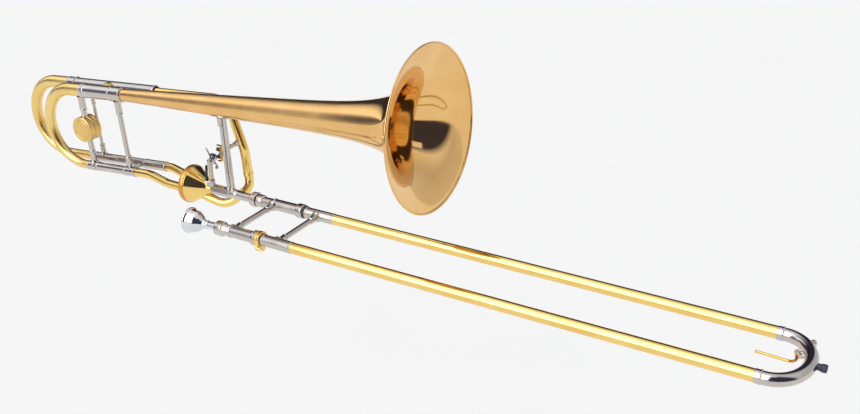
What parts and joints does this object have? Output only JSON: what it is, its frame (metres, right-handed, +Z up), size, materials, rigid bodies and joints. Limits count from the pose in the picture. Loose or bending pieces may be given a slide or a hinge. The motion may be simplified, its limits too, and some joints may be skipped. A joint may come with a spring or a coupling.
{
  "type": "tenor trombone with an F attachment",
  "caption": "Large tenor trombone: flared bell, counterweighted tuning slide, cone valve with an F slide and thumb lever, hand slide with lock and water key, and cup mouthpiece.",
  "frame": {"origin": "on the axis of the hand slide's upper leg, at the ring where the left hand's slide brace meets it", "axes": "+X along the hand slide, away from the player; +Z up, towards the bell; +Y to the player's left, so the mouthpiece's leg is at -Y"},
  "size_m": [1.2761, 0.2238, 0.2985],
  "materials": {
    "yellow_brass": "lacquered, polished",
    "gold_brass": "lacquered, polished",
    "nickel_silver": "polished nickel silver",
    "chrome_plate": "chrome plated",
    "copper": "polished copper alloy",
    "silver_plate": "silver plated",
    "black_rubber": "moulded rubber",
    "cork": "natural cork"
  },
  "bodies": {
    "bell_section": {"bell": "gold_brass", "bell_ferrule": "nickel_silver", "upper_tuning_sleeve": "nickel_silver", "lower_tuning_sleeve": "nickel_silver", "f_upper_sleeve": "nickel_silver", "f_lower_sleeve": "nickel_silver", "f_brace": "nickel_silver", "upper_leg_spacer": "yellow_brass", "lower_leg_spacer": "nickel_silver", "bell_section_brace": "nickel_silver", "valve_ring": "copper", "valve_casing": "yellow_brass", "valve_back_plate": "copper", "gooseneck": "yellow_brass", "f_lower_tube": "yellow_brass", "f_long_tube": "yellow_brass", "f_return_bend": "yellow_brass", "neckpipe": "nickel_silver", "bell_brace_socket": "nickel_silver", "bell_brace_tube": "nickel_silver", "second_brace_tube": "nickel_silver", "side_brace": "nickel_silver", "lever_post": "nickel_silver", "lever_spring": "black_rubber", "stop_bracket": "yellow_brass", "stop_bumper_upper": "black_rubber", "stop_bumper_lower": "black_rubber"},
    "main_tuning_slide": {"main_crook": "yellow_brass", "main_upper_leg": "nickel_silver", "main_lower_leg": "nickel_silver", "tuning_slide_brace": "nickel_silver", "counterweight": "yellow_brass"},
    "f_tuning_slide": {"f_crook": "yellow_brass", "f_upper_leg": "nickel_silver", "f_lower_leg": "nickel_silver"},
    "thumb_lever": {"thumb_lever": "nickel_silver", "ball_joint": "black_rubber"},
    "valve_rotor": {"valve_rotor": "nickel_silver"},
    "lock_nut": {"lock_nut": "nickel_silver"},
    "slide_section": {"slide_receiver": "nickel_silver", "mouthpiece_receiver": "nickel_silver", "cork_barrel_rear": "nickel_silver", "cork_barrel_front": "nickel_silver", "inner_tube_rear": "chrome_plate", "inner_tube_front": "chrome_plate", "slide_brace": "nickel_silver"},
    "slide_lock": {"slide_lock_ring": "yellow_brass"},
    "hand_slide": {"stocking_rear": "nickel_silver", "stocking_front": "nickel_silver", "outer_tube_rear": "yellow_brass", "outer_tube_front": "yellow_brass", "bow_ferrule_rear": "nickel_silver", "bow_ferrule_front": "nickel_silver", "hand_brace": "nickel_silver", "slide_bow": "nickel_silver", "bow_bumper": "black_rubber", "water_key_saddle": "nickel_silver"},
    "water_key": {"water_key_lever": "yellow_brass", "water_key_cork": "cork"},
    "mouthpiece": {"mouthpiece": "silver_plate"}
  },
  "joints": [
    {"name": "main_tuning_slide_pull", "type": "slide", "parent": "bell_section", "child": "main_tuning_slide", "axis": [-0.9968, 0, -0.0805], "range_m": [0, 0.04]},
    {"name": "f_tuning_slide_pull", "type": "slide", "parent": "bell_section", "child": "f_tuning_slide", "axis": [-0.9968, 0, -0.0805], "range_m": [0, 0.035]},
    {"name": "thumb_lever_hinge", "type": "hinge", "parent": "bell_section", "child": "thumb_lever", "pos_m": [-0.1137, -0.003, 0.03], "axis": [0, 0, -1], "range_deg": [0, 25], "stiffness_Nm_per_rad": 0.08, "springref_deg": -20.05},
    {"name": "valve_rotor_turn", "type": "hinge", "parent": "bell_section", "child": "valve_rotor", "pos_m": [-0.14, 0, 0], "axis": [1, 0, 0], "range_deg": [0, 80]},
    {"name": "lock_nut_turn", "type": "hinge", "parent": "bell_section", "child": "lock_nut", "pos_m": [-0.037, 0, 0], "axis": [1, 0, 0], "continuous": true},
    {"name": "slide_section_turn", "type": "hinge", "parent": "bell_section", "child": "slide_section", "pos_m": [0, 0, 0], "axis": [1, 0, 0], "range_deg": [-12, 12]},
    {"name": "slide_lock_turn", "type": "hinge", "parent": "slide_section", "child": "slide_lock", "pos_m": [0.048, -0.097, 0], "axis": [1, 0, 0], "range_deg": [0, 35]},
    {"name": "hand_slide_pull", "type": "slide", "parent": "slide_section", "child": "hand_slide", "axis": [1, 0, 0], "range_m": [0, 0.58]},
    {"name": "water_key_hinge", "type": "hinge", "parent": "hand_slide", "child": "water_key", "pos_m": [0.7318, -0.0262, -0.0046], "axis": [-0.585, 0.811, 0], "range_deg": [0, 10], "stiffness_Nm_per_rad": 0.06, "springref_deg": -20.05},
    {"name": "mouthpiece_pull", "type": "slide", "parent": "slide_section", "child": "mouthpiece", "axis": [-1, 0, 0], "range_m": [0, 0.03]}
  ],
  "couplings": [
    {"joint": "valve_rotor_turn", "follows": "thumb_lever_hinge", "ratio": 3}
  ]
}
